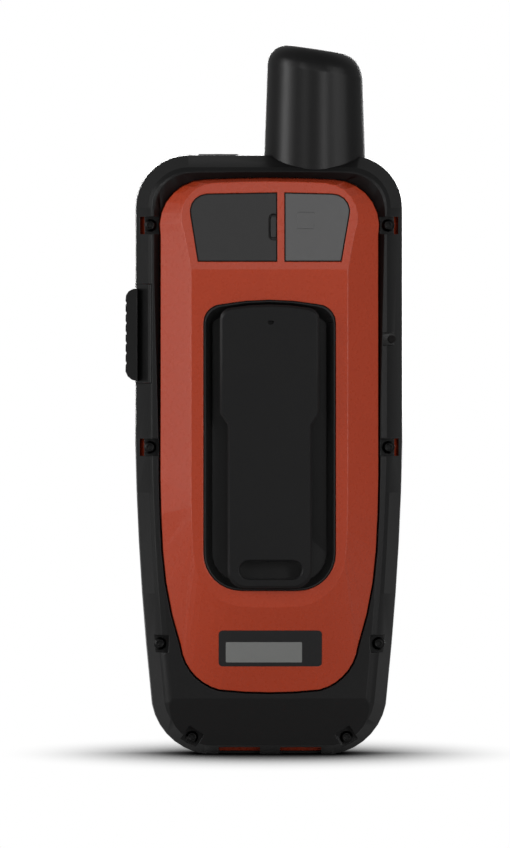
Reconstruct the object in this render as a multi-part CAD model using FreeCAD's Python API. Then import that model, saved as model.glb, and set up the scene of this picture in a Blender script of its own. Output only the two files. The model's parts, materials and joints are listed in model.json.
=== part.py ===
"""Handheld emergency position beacon: sealed case, stub antenna, rear mounting spine, keypad and display.

The beacon stands upright on its bottom end. +Z is up, the display faces +Y, the mounting spine
faces -Y, and +X is on the antenna's side. The origin is the middle of the bottom end. Millimetres.
"""
import FreeCAD, Part
import math
import os

V = FreeCAD.Vector

# Driving dimensions of the case
HALF_WIDTH = 33.5        # half the width over the straight upper sides
CASE_TOP = 149.8         # height of the case without the antenna
FOOT_HALF = 16.0         # half the flat bottom edge
FOOT_TRIM = 0.3          # depth cut flat across the rounded bottom, so that the beacon stands
SHOULDER_R = 13.3        # outer radius of the two top corners
PART_LINE = 3.0          # Y of the joint between the core housing and the front housing
FRONT_FACE = 16.5        # Y of the bezel face
FRAME_BACK = -12.8       # Y of the bumper frame's rear face
SKIN = 0.8               # bumper skin over the core housing
CORE_BACK = -6.6         # Y where the core housing meets the bumper's rear wall

# Rear cover
PLATEAU = -21.0          # Y of the flat rear plateau
COVER_EDGE = -13.4       # Y where the cover's slopes meet the frame
COVER_SEAT = -5.0        # Y of the cover's flange on the core housing
COVER_WALL = 1.6
FACET_FOOT = 121.1       # Z where the upper facet leaves the plateau
FACET_TILT = 10.4        # lean of the upper facet, degrees
PANEL_DEPTH = 1.7        # thickness of the weather cap and the sensor window
PANEL_GAP = 0.12

# Mounting bay and spine
BAY_HALF = 16.45
BAY_LOW = 41.1
BAY_TOP = 113.5
BAY_FLOOR = -14.5
TRAY_RIM = 0.4           # thickness of the tray's wall at its rim
TRAY_DRAFT = 2.2         # and at its floor, because the bay narrows inwards
SPINE_BACK = -23.4
SPINE_HEAD = 3.0
SPINE_WIDE = 12.4
SPINE_NARROW = 10.5
SPINE_NECK = 6.0
SLOT_Z = 46.3
SLOT_LENGTH = 15.4
SLOT_HEIGHT = 4.4

# Antenna
ANTENNA_X = 11.6
ANTENNA_Y = 1.0
ANTENNA_FOOT = 145.0
ANTENNA_RISE = (177.9, -0.148)   # height of the slanting top over X = 0, and its slope along X
ANTENNA_ROUND = 5.4              # rounding between its side and its top
ANTENNA_SIDES = 40

# Screws: X, Z, Y of the head's seat, and the turn of the square pocket about the screw
SCREWS = [
    (29.7, 132.1, -9.4, 0.0),
    (29.8, 76.7, -9.4, 0.0),
    (27.3, 27.7, -9.4, -3.0),
    (19.3, 4.25, -8.2, -33.0),
]
POCKET = 4.4
WINDOWS_ABOVE = 50.0     # Z above which a pocket opens onto the core housing
SCREW_R = 1.0
SCREW_HEAD_R = 1.6

# SOS cover on the left side
SOS_LOW = 92.7
SOS_TOP = 117.5
SOS_SEAM_X = -29.3
SOS_PIVOT = (-32.2, 1.4)         # X, Y of the hinge axis
SOS_SKIN = 2.1
SEAM = 0.12
SOS_BUTTON = (-2.9, 105.1)       # Y, Z of the button's axis
SOS_BUTTON_R = 2.8

# Front: display below, keypad above
LENS = (23.5, 12.0, 88.0)        # half width, low Z, high Z
SCREEN = (19.0, 18.5, 81.5)
KEY_TOP = 17.6
KEY_SIZES = (11.0, 7.6)
KEYS = {
    "key_zoom_in": (-19.5, 136.0),
    "key_zoom_out": (-19.5, 120.0),
    "key_find": (-19.5, 104.0),
    "key_quit": (19.5, 136.0),
    "key_menu": (19.5, 120.0),
    "key_page": (19.5, 104.0),
    "key_mark": (-6.7, 99.0),
    "key_enter": (6.7, 99.0),
}
ROCKER_Z = 119.5
ROCKER_R = 9.8
ROCKER_FOOT = 17.1       # Y of the disc's underside: it tilts clear of the bezel
ROCKER_THICK = 1.7
ROCKER_HOLE = 3.4        # radius of the hole that its stem passes

# Power button on the top
POWER_X = -12.7
POWER_Y = -0.4
POWER_SIZE = (10.0, 4.4)
POWER_PROUD = 0.15


def point(plane, level, u, v):
    """A point from its two coordinates in a plane and the plane's level."""
    if plane == "XZ":
        return V(u, level, v)
    if plane == "YZ":
        return V(level, u, v)
    return V(u, v, level)


def is_arc(move):
    return isinstance(move[0], tuple)


def outline(plane, level, start, moves):
    """Wire from start through moves: an end point is a straight run, (through, end, chords) an arc.

    An arc is drawn as equal chords, so that every face between two outlines is plain and light.
    """
    corners = [point(plane, level, *start)]
    for move in moves:
        if is_arc(move):
            through, end, chords = move
            bow = Part.Arc(corners[-1], point(plane, level, *through), point(plane, level, *end))
            corners += bow.toShape().discretize(chords + 1)[1:]
        else:
            corners.append(point(plane, level, *move))
    corners[-1] = corners[0]
    return Part.makePolygon(corners)


def mirror_outline(plane, level, start, moves, crown=None, sole=None):
    """Closed wire from its right half: crown and sole, (through, chords), join the two halves."""
    def flip(spot):
        return (-spot[0], spot[1])

    stops = [start] + [move[1] if is_arc(move) else move for move in moves]
    full = list(moves)
    far = flip(stops[-1])
    full.append((crown[0], far, crown[1]) if crown else far)
    for index in range(len(moves) - 1, -1, -1):
        end = flip(stops[index])
        move = moves[index]
        full.append((flip(move[0]), end, move[2]) if is_arc(move) else end)
    full.append((sole[0], start, sole[1]) if sole else start)
    return outline(plane, level, start, full)


def extrude(wire, reach):
    return Part.Face(wire).extrude(reach)


def box(low, high):
    size = V(*high) - V(*low)
    return Part.makeBox(size.x, size.y, size.z, V(*low))


def rod(start, end, radius):
    run = V(*end) - V(*start)
    return Part.makeCylinder(radius, run.Length, V(*start), run)


def rounded_wire(plane, level, centre, size, radius, chords=3):
    half_u = size[0] / 2.0
    half_v = size[1] / 2.0
    low = V(centre[0] - half_u, centre[1] - half_v)
    cut = radius * (1.0 - math.sqrt(0.5))
    left, right = low.x, low.x + size[0]
    down, up = low.y, low.y + size[1]
    moves = [
        (right - radius, down), ((right - cut, down + cut), (right, down + radius), chords),
        (right, up - radius), ((right - cut, up - cut), (right - radius, up), chords),
        (left + radius, up), ((left + cut, up - cut), (left, up - radius), chords),
        (left, down + radius), ((left + cut, down + cut), (left + radius, down), chords),
    ]
    return outline(plane, level, (left + radius, down), moves)


def pad(plane, level, reach, centre, size, radius, chords=3):
    """Rounded rectangular plate: centre and size in the plane, reach is its thickness."""
    wire = rounded_wire(plane, level, centre, size, radius, chords)
    return extrude(wire, point(plane, reach, 0, 0))


def crowned_pad(plane, level, reach, centre, size, radius, bevel):
    """Plate whose far edge is bevelled all round."""
    small = (size[0] - 2 * bevel, size[1] - 2 * bevel)
    shoulder = level + reach - bevel
    return skinned([
        rounded_wire(plane, level, centre, size, radius, 4),
        rounded_wire(plane, shoulder, centre, size, radius, 4),
        rounded_wire(plane, level + reach, centre, small, radius - bevel, 4),
    ])


def ring_wire(centre, axis, radius, sides):
    """Regular polygon round an axis."""
    normal = V(*axis)
    across = normal.cross(V(0, 0, 1)) if abs(normal.z) < 0.5 else V(1, 0, 0)
    rim = [V(*centre) + FreeCAD.Rotation(normal, 360.0 * step / sides).multVec(across) * radius
           for step in range(sides)]
    return Part.makePolygon(rim + rim[:1])


def disc(centre, axis, thickness, radius, sides=10):
    """Small round part drawn as a regular prism."""
    return extrude(ring_wire(centre, axis, radius, sides), V(*axis) * thickness)


def turned(centre, axis, profile, sides):
    """Turned part from rising (distance along the axis, radius) pairs, drawn with flat sides."""
    start = V(*centre)
    pieces = []
    for (near, first), (far, last) in zip(profile, profile[1:]):
        if far > near:
            rings = [ring_wire(start + V(*axis) * reach, axis, radius, sides)
                     for reach, radius in ((near, first), (far, last))]
            pieces.append(skinned(rings))
    return fused(pieces)


def is_flat(spots):
    """True when four or more corners lie in one plane."""
    normal = (spots[1] - spots[0]).cross(spots[2] - spots[0])
    if normal.Length < 1e-9:
        return False
    normal.normalize()
    return all(abs((spot - spots[0]).dot(normal)) < 1e-5 for spot in spots[3:])


def flat_faces(spots):
    """One face over flat corners, or a fan of triangles round their middle."""
    if is_flat(spots):
        return [Part.Face(Part.makePolygon(spots + spots[:1]))]
    if len(spots) == 4:
        trios = [(spots[0], spots[1], spots[2]), (spots[0], spots[2], spots[3])]
    else:
        middle = sum(spots, V(0, 0, 0)) * (1.0 / len(spots))
        trios = [(spot, spots[(index + 1) % len(spots)], middle) for index, spot in enumerate(spots)]
    return [Part.Face(Part.makePolygon([one, two, three, one])) for one, two, three in trios]


def skinned(rings):
    """Closed solid with flat faces over rings of equally many corners."""
    loops = [[vertex.Point for vertex in ring.OrderedVertexes] for ring in rings]
    faces = flat_faces(loops[0]) + flat_faces(loops[-1])
    for lower, upper in zip(loops, loops[1:]):
        for step in range(len(lower)):
            after = (step + 1) % len(lower)
            faces += flat_faces([lower[step], lower[after], upper[after], upper[step]])
    shell = Part.makeShell(faces)
    shell.sewShape()
    solid = Part.makeSolid(shell)
    if solid.Volume < 0:
        solid.reverse()
    return solid


def fused(shapes):
    first = shapes[0]
    return first.fuse(shapes[1:]).removeSplitter() if len(shapes) > 1 else first


# Case outlines

def case_outline(y, inset, trim=0.0):
    """The case seen from behind, moved inwards by inset: tapered lower sides, round corners."""
    side = HALF_WIDTH - inset
    corner = SHOULDER_R - inset
    centre_x = HALF_WIDTH - SHOULDER_R
    centre_z = CASE_TOP - SHOULDER_R
    reach = corner * math.sqrt(0.5)
    moves = [
        ((25.4 - 0.75 * inset, 4.5 + 0.66 * inset), (29.6 - inset, 15.0), 8),
        ((31.9 - inset, 41.5), (side, 78.0), 5),
        (side, centre_z),
        ((centre_x + reach, centre_z + reach), (centre_x, CASE_TOP - inset), 9),
    ]
    return mirror_outline("XZ", y, (FOOT_HALF, inset - trim), moves)


def case_block(sections, trim=0.0):
    """Solid through case outlines, given as (Y, inset) from back to front, cut off at the floor."""
    block = skinned([case_outline(y, inset, trim) for y, inset in sections])
    return block.cut(box((-40, -40, -5), (40, 40, 0))) if trim else block


def case_prism(y_low, y_high, inset):
    return extrude(case_outline(y_low, inset), V(0, y_high - y_low, 0))


def cover_outline(y, grow):
    """Edge of the rear cover, moved outwards by grow."""
    moves = [
        ((18.5 + 0.6 * grow, 19.8 - 0.8 * grow), (22.0 + 0.85 * grow, 27.2 - 0.5 * grow), 7),
        ((24.7 + 0.95 * grow, 37.4), (26.5 + grow, 51.0), 3),
        ((27.0 + grow, 62.0), (27.15 + grow, 78.0), 3),
        (27.1 + grow, 129.5),
        ((24.4 + 0.7 * grow, 139.6 + 0.7 * grow), (16.0, 143.4 + grow), 7),
    ]
    start = (12.5, 16.3 - grow)
    return mirror_outline("XZ", y, start, moves, ((0.0, 143.8 + grow), 4), ((0.0, 15.6 - grow), 4))


def plateau_outline(y, grow):
    """Loop where the cover's slopes meet its rear plateau, moved outwards by grow."""
    moves = [
        ((15.3 + 0.7 * grow, 41.2 - 0.7 * grow), (19.0 + grow, 50.0), 7),
        ((19.25 + grow, 54.0), (19.4 + grow, 59.0), 3),
        ((19.48 + grow, 63.0), (19.5 + grow, 68.0), 3),
        (19.5 + grow, 130.5),
        ((17.6 + 0.7 * grow, 138.6 + 0.7 * grow), (12.0, 141.9 + grow), 7),
    ]
    start = (8.0, 37.2 - grow)
    return mirror_outline("XZ", y, start, moves, ((0.0, 142.2 + grow), 4), ((0.0, 36.9 - grow), 4))


def groove_outline(y, grow):
    """Ridge of the bumper frame round the top of the rear cover."""
    moves = [
        ((18.5 + 0.6 * grow, 19.8 - 0.8 * grow), (22.0 + 0.85 * grow, 27.2 - 0.5 * grow), 7),
        ((24.7 + 0.95 * grow, 37.4), (26.5 + grow, 51.0), 3),
        ((27.0 + grow, 62.0), (27.15 + grow, 78.0), 3),
        (29.3, 136.0),
        ((26.7, 143.0), (20.0, 146.0), 7),
    ]
    start = (12.5, 16.3 - grow)
    return mirror_outline("XZ", y, start, moves, ((0.0, 146.1), 4), ((0.0, 15.6 - grow), 4))


def bay_outline(y, grow):
    """Mounting bay in the rear cover: arched top, round bottom corners."""
    half = BAY_HALF + grow
    moves = [
        ((13.7 + 0.7 * grow, 43.8 - 0.7 * grow), (half, 50.4), 8),
        (half, BAY_TOP - 5.7),
        ((half - 1.3, BAY_TOP - 2.5 + grow), (half - 4.5, BAY_TOP - 1.1 + grow), 5),
    ]
    start = (7.2, BAY_LOW - grow)
    return mirror_outline("XZ", y, start, moves, ((0.0, BAY_TOP + grow), 4))


# Rear cover and what sits in it

def tilted(shape):
    """Lean a shape built on the plateau onto the upper facet."""
    return shape.rotated(V(0, PLATEAU, FACET_FOOT), V(1, 0, 0), -FACET_TILT)


def facet_z(z):
    """Height up the facet, before leaning, of a point that ends at height z."""
    return FACET_FOOT + (z - FACET_FOOT) / math.cos(math.radians(FACET_TILT))


def cover_form(inset):
    """Outer form of the rear cover, every face moved inwards by inset."""
    slopes = skinned([plateau_outline(PLATEAU + inset, -inset), cover_outline(COVER_EDGE + inset, -inset)])
    base_y = COVER_EDGE + inset
    base = extrude(cover_outline(base_y, -inset), V(0, COVER_SEAT - base_y, 0))
    facet = tilted(box((-40, PLATEAU - 12, FACET_FOOT - 0.0), (40, PLATEAU + inset, FACET_FOOT + 40)))
    return slopes.fuse(base).cut(facet)


def panel_outline(side, grow):
    """Weather cap (side -1) or sensor window (side +1) on the facet, before leaning."""
    inner = 1.8 if side < 0 else 3.8
    lean = 0.2 if side > 0 else 0.0
    moves = [
        (side * 17.8 + side * grow, facet_z(123.15) - grow),
        (side * (19.6 + lean + grow), facet_z(134.4)),
        ((side * (18.9 + lean + 0.7 * grow), facet_z(138.2) + 0.7 * grow),
         (side * 15.6, facet_z(139.9) + grow), 5),
        (inner - side * grow, facet_z(140.2) + grow),
        (inner - side * grow, facet_z(123.15) - grow),
    ]
    return outline("XZ", PLATEAU, (inner - side * grow, facet_z(123.15) - grow), moves)


def panel(side, grow, depth, proud=0.0):
    wire = panel_outline(side, grow)
    wire.translate(V(0, -proud, 0))
    return tilted(extrude(wire, V(0, depth + proud, 0)))


def usb_well(grow, y_low, y_high):
    return tilted(pad("XZ", y_low, y_high - y_low, (-8.0, facet_z(131.6)), (11.0 + 2 * grow, 7.0 + 2 * grow), 1.5))


def label_shape(size, centre, radius, depth):
    """Plate of a given depth that follows the cover's surface."""
    stamp = pad("XZ", PLATEAU - 2, 12.0, centre, size, radius)
    return cover_form(0.0).cut(cover_form(depth)).common(stamp)


def label_plate():
    return label_shape((25.7, 9.0), (0.2, 26.6), 0.9, 0.5).cut(label_inlay())


def label_inlay():
    return label_shape((19.0, 5.1), (-1.4, 25.65), 0.25, 0.2)


def rear_cover():
    shell = cover_form(0.0)
    hollow = cover_form(COVER_WALL)
    hollow = hollow.fuse(extrude(cover_outline(COVER_SEAT - 1.0, -COVER_WALL), V(0, 2.0, 0)))
    backing = tilted(box((-40, PLATEAU - 3, FACET_FOOT), (40, PLATEAU + 4.0, FACET_FOOT + 40)))
    sleeve = usb_well(1.0, PLATEAU + 1.0, PLATEAU + 9.0)
    shell = shell.cut(hollow.cut([backing, sleeve]))
    flange = extrude(cover_outline(CORE_BACK, 0.5), V(0, COVER_SEAT - CORE_BACK, 0))
    flange = flange.cut(extrude(cover_outline(CORE_BACK, -COVER_WALL), V(0, 3.0, 0)))
    shell = shell.fuse(flange)
    cuts = [extrude(bay_outline(PLATEAU - 1, 0.05), V(0, 4.0, 0))]
    cuts += [panel(side, PANEL_GAP, PANEL_DEPTH + 0.1, 3.0) for side in (-1, 1)]
    cuts += [usb_well(0.0, PLATEAU - 1.0, PLATEAU + 10.0)]
    cuts += [label_shape((25.7, 9.0), (0.2, 26.6), 0.9, 0.5)]
    cuts += [box((-29.0, -8.0, SOS_BUTTON[1] - 4.0), (-27.2, COVER_SEAT, SOS_BUTTON[1] + 4.0))]
    return shell.cut(cuts).removeSplitter()


def usb_weather_cap():
    cap = panel(-1, 0.0, PANEL_DEPTH)
    plug = tilted(pad("XZ", PLATEAU + PANEL_DEPTH, 0.5, (-8.0, facet_z(131.6)), (10.4, 6.4), 1.2))
    grip_z = facet_z(131.7)
    recess = tilted(pad("XZ", PLATEAU - 1.0, 1.7, (1.1, grip_z), (2.4, 6.5), 1.1))
    lug = tilted(pad("XZ", PLATEAU + 0.1, 0.8, (0.95, grip_z), (1.3, 5.3), 0.4))
    return fused([cap.cut(recess), plug, lug])


def sensor_window():
    return panel(1, 0.0, PANEL_DEPTH).cut(light_sensor())


def light_sensor():
    return tilted(pad("XZ", PLATEAU, PANEL_DEPTH, (9.05, facet_z(133.3)), (4.2, 4.2), 0.3))


def spine_tray():
    """Drafted tray that lines the bay, with a lip behind the rear cover."""
    rim_y = SPINE_BACK + SPINE_HEAD + 0.1
    cup = extrude(bay_outline(rim_y, -0.1), V(0, BAY_FLOOR + 1.6 - rim_y, 0))
    inside = skinned([bay_outline(rim_y - 0.3, -TRAY_RIM), bay_outline(BAY_FLOOR, -TRAY_DRAFT)])
    lip_y = PLATEAU + COVER_WALL + 0.6
    lip = extrude(bay_outline(lip_y, 0.9), V(0, 0.9, 0))
    holes = [disc((0, BAY_FLOOR - 1, z), (0, 1, 0), 4.0, 1.3, 12) for z in spine_screw_heights()]
    return fused([cup, lip]).cut([inside] + holes)


def spine_gasket():
    y = PLATEAU + COVER_WALL
    ring = extrude(bay_outline(y, 0.9), V(0, 0.6, 0))
    return ring.cut(extrude(bay_outline(y - 1, 0.0), V(0, 3.0, 0)))


def spine_screw_heights():
    return [62.0 + 14.0 * step for step in range(4)]


def spine_head_outline(y, grow):
    moves = [
        ((SPINE_NARROW - 1.2 + grow, 42.9 - grow), (SPINE_NARROW + grow, 45.8), 5),
        (SPINE_NARROW + grow, 82.4),
        (SPINE_WIDE + grow, 85.3),
        (SPINE_WIDE + grow, 108.8),
        ((SPINE_WIDE - 0.8 + grow, 110.7 + grow), (SPINE_WIDE - 2.8, 111.6 + grow), 4),
    ]
    start = (SPINE_NARROW - 4.1, 41.7 - grow)
    return mirror_outline("XZ", y, start, moves, ((0.0, 112.4 + grow), 4))


def mounting_spine():
    """T-rail: a narrow neck under a head that widens half way up, with a lanyard slot."""
    head = skinned([spine_head_outline(SPINE_BACK, -0.6), spine_head_outline(SPINE_BACK + 0.6, 0.0)])
    head = head.fuse(extrude(spine_head_outline(SPINE_BACK + 0.6, 0.0), V(0, SPINE_HEAD - 0.6, 0)))
    under = SPINE_BACK + SPINE_HEAD
    neck = pad("XZ", under, BAY_FLOOR - under, (0.0, 82.0), (2 * SPINE_NECK, 55.0), 2.5)
    slot = pad("XZ", SPINE_BACK - 1, 6.0, (0.3, SLOT_Z), (SLOT_LENGTH, SLOT_HEIGHT), SLOT_HEIGHT / 2 - 0.01, 4)
    mouth = skinned([slot_mouth(SPINE_BACK - 0.1, 0.45), slot_mouth(SPINE_BACK + 0.35, 0.0)])
    detent = pad("XZ", SPINE_BACK - 1, 2.2, (0.3, 107.9), (1.5, 0.85), 0.4)
    holes = [disc((0, BAY_FLOOR + 1, z), (0, -1, 0), 6.0, SCREW_R + 0.02, 12) for z in spine_screw_heights()]
    return fused([head, neck]).cut([slot, mouth, detent] + holes)


def slot_mouth(y, grow):
    half = SLOT_LENGTH / 2 - SLOT_HEIGHT / 2
    radius = SLOT_HEIGHT / 2 + grow
    up, down = SLOT_Z + radius, SLOT_Z - radius
    moves = [
        (0.3 + half, down), ((0.3 + half + radius, SLOT_Z), (0.3 + half, up), 8),
        (0.3 - half, up), ((0.3 - half - radius, SLOT_Z), (0.3 - half, down), 8),
    ]
    return outline("XZ", y, (0.3 - half, down), moves)


def spine_screws():
    screws = []
    for z in spine_screw_heights():
        profile = [(0.0, SCREW_R), (6.2, SCREW_R), (6.2, 1.9), (7.2, 1.9)]
        screws.append(turned((0, BAY_FLOOR - 4.6, z), (0, 1, 0), profile, 12))
    return Part.makeCompound(screws)


# Case shells

def rear_profile():
    """Side view limit of the bumper frame: its rear face leans forward towards the foot."""
    moves = [(-9.6, 0.0), (-13.6, 17.5), (-13.6, 160.0), (PART_LINE, 160.0), (PART_LINE, -1.0)]
    return extrude(outline("YZ", -40.0, (PART_LINE, -1.0), [(-9.3, -1.0)] + moves), V(80, 0, 0))


def bumper_form():
    block = case_block([(FRAME_BACK, 5.4), (-12.4, 4.2), (-11.3, 3.2), (-5.5, 0.25), (PART_LINE, 0.0)], FOOT_TRIM)
    return block.common(rear_profile())


def sides(shape):
    """A shape and its mirror image across the middle plane."""
    return [shape, shape.mirror(V(0, 0, 0), V(1, 0, 0))]


def core_form(inset):
    """Core housing's outer form: chamfered at the back so that the bumper wraps round it."""
    return case_block([(CORE_BACK + inset - SKIN, 3.0), (-4.5, inset), (PART_LINE, inset)])


def screw_places():
    places = []
    for x, z, seat, turn in SCREWS:
        places += [(x, z, seat, turn), (-x, z, seat, -turn)]
    return places


def screw_pockets():
    """Square pockets over the screws; beside the upper ones is a deeper window on the core housing."""
    pockets = []
    for x, z, seat, turn in screw_places():
        outward = 1 if x > 0 else -1
        well = pad("XZ", -16.0, seat + 16.0, (0, 0), (POCKET, POCKET), 0.3)
        window = box((1.45, -16.0, -POCKET / 2), (2.55, -4.6, POCKET / 2))
        if outward < 0:
            window = window.mirror(V(0, 0, 0), V(1, 0, 0))
        for cut in (well, window) if z > WINDOWS_ABOVE else (well,):
            cut = cut.rotated(V(0, 0, 0), V(0, 1, 0), turn)
            pockets.append(cut.translated(V(x, 0, z)))
    return pockets


def screw_holes(y_low, y_high, radius):
    return [disc((x, y_low, z), (0, 1, 0), y_high - y_low, radius, 12) for x, z, seat, turn in screw_places()]


def case_screws():
    screws = []
    for x, z, seat, turn in screw_places():
        length = 10.0 - seat
        profile = [(0.0, SCREW_R), (length, SCREW_R), (length, SCREW_HEAD_R),
                   (length + 0.7, SCREW_HEAD_R), (length + 1.3, 1.0)]
        screw = turned((x, 10.0, z), (0, -1, 0), profile, 12)
        screws.append(screw.cut(disc((x, seat - 2.0, z), (0, 1, 0), 1.2, 0.75, 6)))
    return Part.makeCompound(screws)


def antenna_radius(z):
    """The stub slims a little with height."""
    return 12.95 - 0.035 * (z - 145.0)


def antenna_form(z_low, z_high, grow):
    centre = (ANTENNA_X, ANTENNA_Y, z_low)
    profile = [(0.0, antenna_radius(z_low) + grow), (z_high - z_low, antenna_radius(z_high) + grow)]
    return turned(centre, (0, 0, 1), profile, ANTENNA_SIDES)


def antenna_ring(drop, inward):
    """Level line of the rounded top: drop below the slanting top, inward from the side."""
    over, slope = ANTENNA_RISE
    corners = []
    for step in range(ANTENNA_SIDES + 1):
        turn = 2.0 * math.pi * step / ANTENNA_SIDES
        reach = 12.0 - inward
        x = ANTENNA_X + reach * math.cos(turn)
        z = over + slope * x - drop
        reach = antenna_radius(z) - inward
        corners.append(V(ANTENNA_X + reach * math.cos(turn), ANTENNA_Y + reach * math.sin(turn), z))
    corners[-1] = corners[0]
    return Part.makePolygon(corners)


def antenna_housing():
    """Closed stub with a slanting, well rounded top, open at its foot inside the case."""
    bends = [math.radians(90.0 * step / 6) for step in range(7)]
    rings = [ring_wire((ANTENNA_X, ANTENNA_Y, ANTENNA_FOOT), (0, 0, 1), antenna_radius(ANTENNA_FOOT), ANTENNA_SIDES)]
    rings += [antenna_ring(ANTENNA_ROUND * (1 - math.sin(bend)), ANTENNA_ROUND * (1 - math.cos(bend)))
              for bend in bends]
    body = skinned(rings)
    hollow = antenna_form(ANTENNA_FOOT - 1, 168.0, -1.8)
    cap = antenna_form(168.0, 171.5, -4.6)
    return body.cut([hollow, cap])


def antenna_former():
    tube = disc((ANTENNA_X, ANTENNA_Y, 149.6), (0, 0, 1), 17.5, 7.6, 24)
    return tube.cut(disc((ANTENNA_X, ANTENNA_Y, 149.0), (0, 0, 1), 20.0, 6.6, 24))


def antenna_windings():
    """Four copper strips that wind half way round the former."""
    strips = []
    for index in range(4):
        rings = []
        for step in range(9):
            turn = math.radians(90.0 * index + 20.0 * step)
            z = 151.0 + 15.0 * step / 8
            out = V(math.cos(turn), math.sin(turn), 0)
            middle = V(ANTENNA_X, ANTENNA_Y, z)
            corners = [middle + out * reach + V(0, 0, rise)
                       for reach, rise in ((7.8, -0.8), (8.2, -0.8), (8.2, 0.8), (7.8, 0.8))]
            rings.append(Part.makePolygon(corners + corners[:1]))
        strips.append(skinned(rings))
    return Part.makeCompound(strips)


def antenna_board():
    return disc((ANTENNA_X, ANTENNA_Y, 148.6), (0, 0, 1), 1.0, 8.6, 24)


def antenna_lead():
    return rod((ANTENNA_X, 2.0, 132.0), (ANTENNA_X, 2.0, 148.6), 0.65)


def antenna_plug():
    return box((ANTENNA_X - 1.6, -0.2, 129.0), (ANTENNA_X + 1.6, 3.2, 132.0))


def vent_notch():
    return box((28.3, -16.0, 102.1), (33.0, -9.4, 105.3))


def pressure_vent():
    return disc((30.6, -9.4, 103.7), (0, -1, 0), 0.4, 1.0, 12)


def lanyard_notches():
    """Two openings in the rear bottom edge, with the lanyard bar between them."""
    return [box((-12.6, -16.0, -1.0), (-2.3, -3.0, 1.75)), box((2.7, -16.0, -1.0), (13.0, -3.0, 1.75))]


def power_opening(grow, z_low, z_high):
    length, width = POWER_SIZE
    return pad("XY", z_low, z_high - z_low, (POWER_X, POWER_Y), (length + 2 * grow, width + 2 * grow), 2.0)


def sos_region(gap):
    """Everything behind the SOS cover's seams, from its outer face inwards."""
    return box((-45.0, -20.0, SOS_LOW + gap), (SOS_SEAM_X - gap, SOS_PIVOT[1], SOS_TOP - gap))


def sos_under(gap):
    """What lies under the SOS cover, moved inwards by gap."""
    return case_block([(-10.3 + gap, 5.6 + gap), (-4.6 + gap, SOS_SKIN + gap), (PART_LINE + 1, SOS_SKIN + gap)])


def sos_recess():
    """Room for the SOS cover, its knuckle and its swing."""
    x, y = SOS_PIVOT
    room = sos_region(0.0).cut(sos_under(0.15))
    knuckle = rod((x, y, SOS_LOW), (x, y, SOS_TOP), 1.45)
    swing = box((-40.0, y, SOS_LOW), (x, y + 1.5, SOS_TOP))
    return [room, knuckle, swing]


def bumper_frame():
    """Black frame round the back: faceted rim, thin side skin, screw pockets, lanyard openings."""
    frame = bumper_form()
    cuts = [
        core_form(SKIN),
        extrude(cover_outline(-16.0, 0.3), V(0, 16.0, 0)),
        skinned([groove_outline(FRAME_BACK - 0.2, 0.5), cover_outline(-11.2, 0.32)]),
        vent_notch(),
        power_opening(0.15, 140.0, 155.0),
        antenna_form(ANTENNA_FOOT, 160.0, 0.05),
    ]
    cuts += screw_pockets() + lanyard_notches() + sos_recess()
    cuts += screw_holes(-16.0, 5.0, SCREW_R + 0.1)
    cuts += [sos_pin(0.0)]
    return frame.cut(cuts)


def core_housing():
    """Orange mid chassis: wall, ledge under the rear cover's flange, and screw bosses."""
    form = core_form(SKIN)
    wall = form.cut(case_prism(CORE_BACK - 1, PART_LINE + 1, 3.2))
    ledge = case_prism(CORE_BACK, COVER_SEAT + 1.8, SKIN + 1.0).common(form)
    ledge = ledge.cut(extrude(cover_outline(CORE_BACK - 1, -1.2), V(0, 6.0, 0)))
    bosses = [disc((x, COVER_SEAT, z), (0, 1, 0), PART_LINE - COVER_SEAT, 2.4, 12)
              for x, z, seat, turn in screw_places()]
    bosses = [boss.common(form) for boss in bosses]
    sos_wall = box((-31.4, CORE_BACK, SOS_LOW), (-28.6, PART_LINE, SOS_TOP))
    body = fused([wall, ledge, sos_wall] + bosses)
    cuts = [
        extrude(cover_outline(CORE_BACK - 1, 0.6), V(0, COVER_SEAT - CORE_BACK + 1, 0)),
        power_opening(0.15, 140.0, 155.0),
        antenna_form(ANTENNA_FOOT, 160.0, 0.05),
        rod((-35.0, SOS_BUTTON[0], SOS_BUTTON[1]), (-25.0, SOS_BUTTON[0], SOS_BUTTON[1]), SOS_BUTTON_R + 0.12),
        box((-28.6, -8.0, SOS_BUTTON[1] - 7.5), (-20.0, PART_LINE, SOS_BUTTON[1] + 7.5)),
        sos_pin(0.0),
    ]
    cuts += sos_recess() + screw_holes(-16.0, 5.0, SCREW_R + 0.1)
    return body.cut(cuts)


def case_gasket():
    """Seal in a groove of the front housing, outside the screws and open where the antenna passes."""
    ring = case_prism(PART_LINE, PART_LINE + 0.8, 1.0).cut(case_prism(PART_LINE - 1, PART_LINE + 2, 1.9))
    return ring.cut(antenna_form(ANTENNA_FOOT, 160.0, 0.4))


def front_housing():
    """Front shell: sloped bezel, lens seat, key openings, rocker well and screw bosses."""
    shell = case_block([(PART_LINE, 0.0), (9.5, 0.2), (14.0, 1.8), (FRONT_FACE, 5.0)], FOOT_TRIM)
    hollow = case_block([(PART_LINE - 0.5, 2.4), (11.0, 2.8), (14.2, 6.2)])
    bosses = [disc((x, PART_LINE, z), (0, 1, 0), 9.0, 2.4, 12).common(case_prism(0.0, 14.0, 1.5))
              for x, z, seat, turn in screw_places()]
    shell = fused([shell.cut(hollow)] + bosses)
    cuts = [
        lens_pad(0.05, 15.0, 3.0),
        screen_opening(),
        antenna_form(ANTENNA_FOOT, 160.0, 0.05),
        disc((0, 10.0, ROCKER_Z), (0, 1, 0), 10.0, ROCKER_HOLE, 20),
        case_gasket(),
    ]
    cuts += [key_pad(place, 0.15, 13.0, 6.0) for place in KEYS.values()]
    cuts += screw_holes(0.0, 10.0, SCREW_R)
    return shell.cut(cuts)


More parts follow.
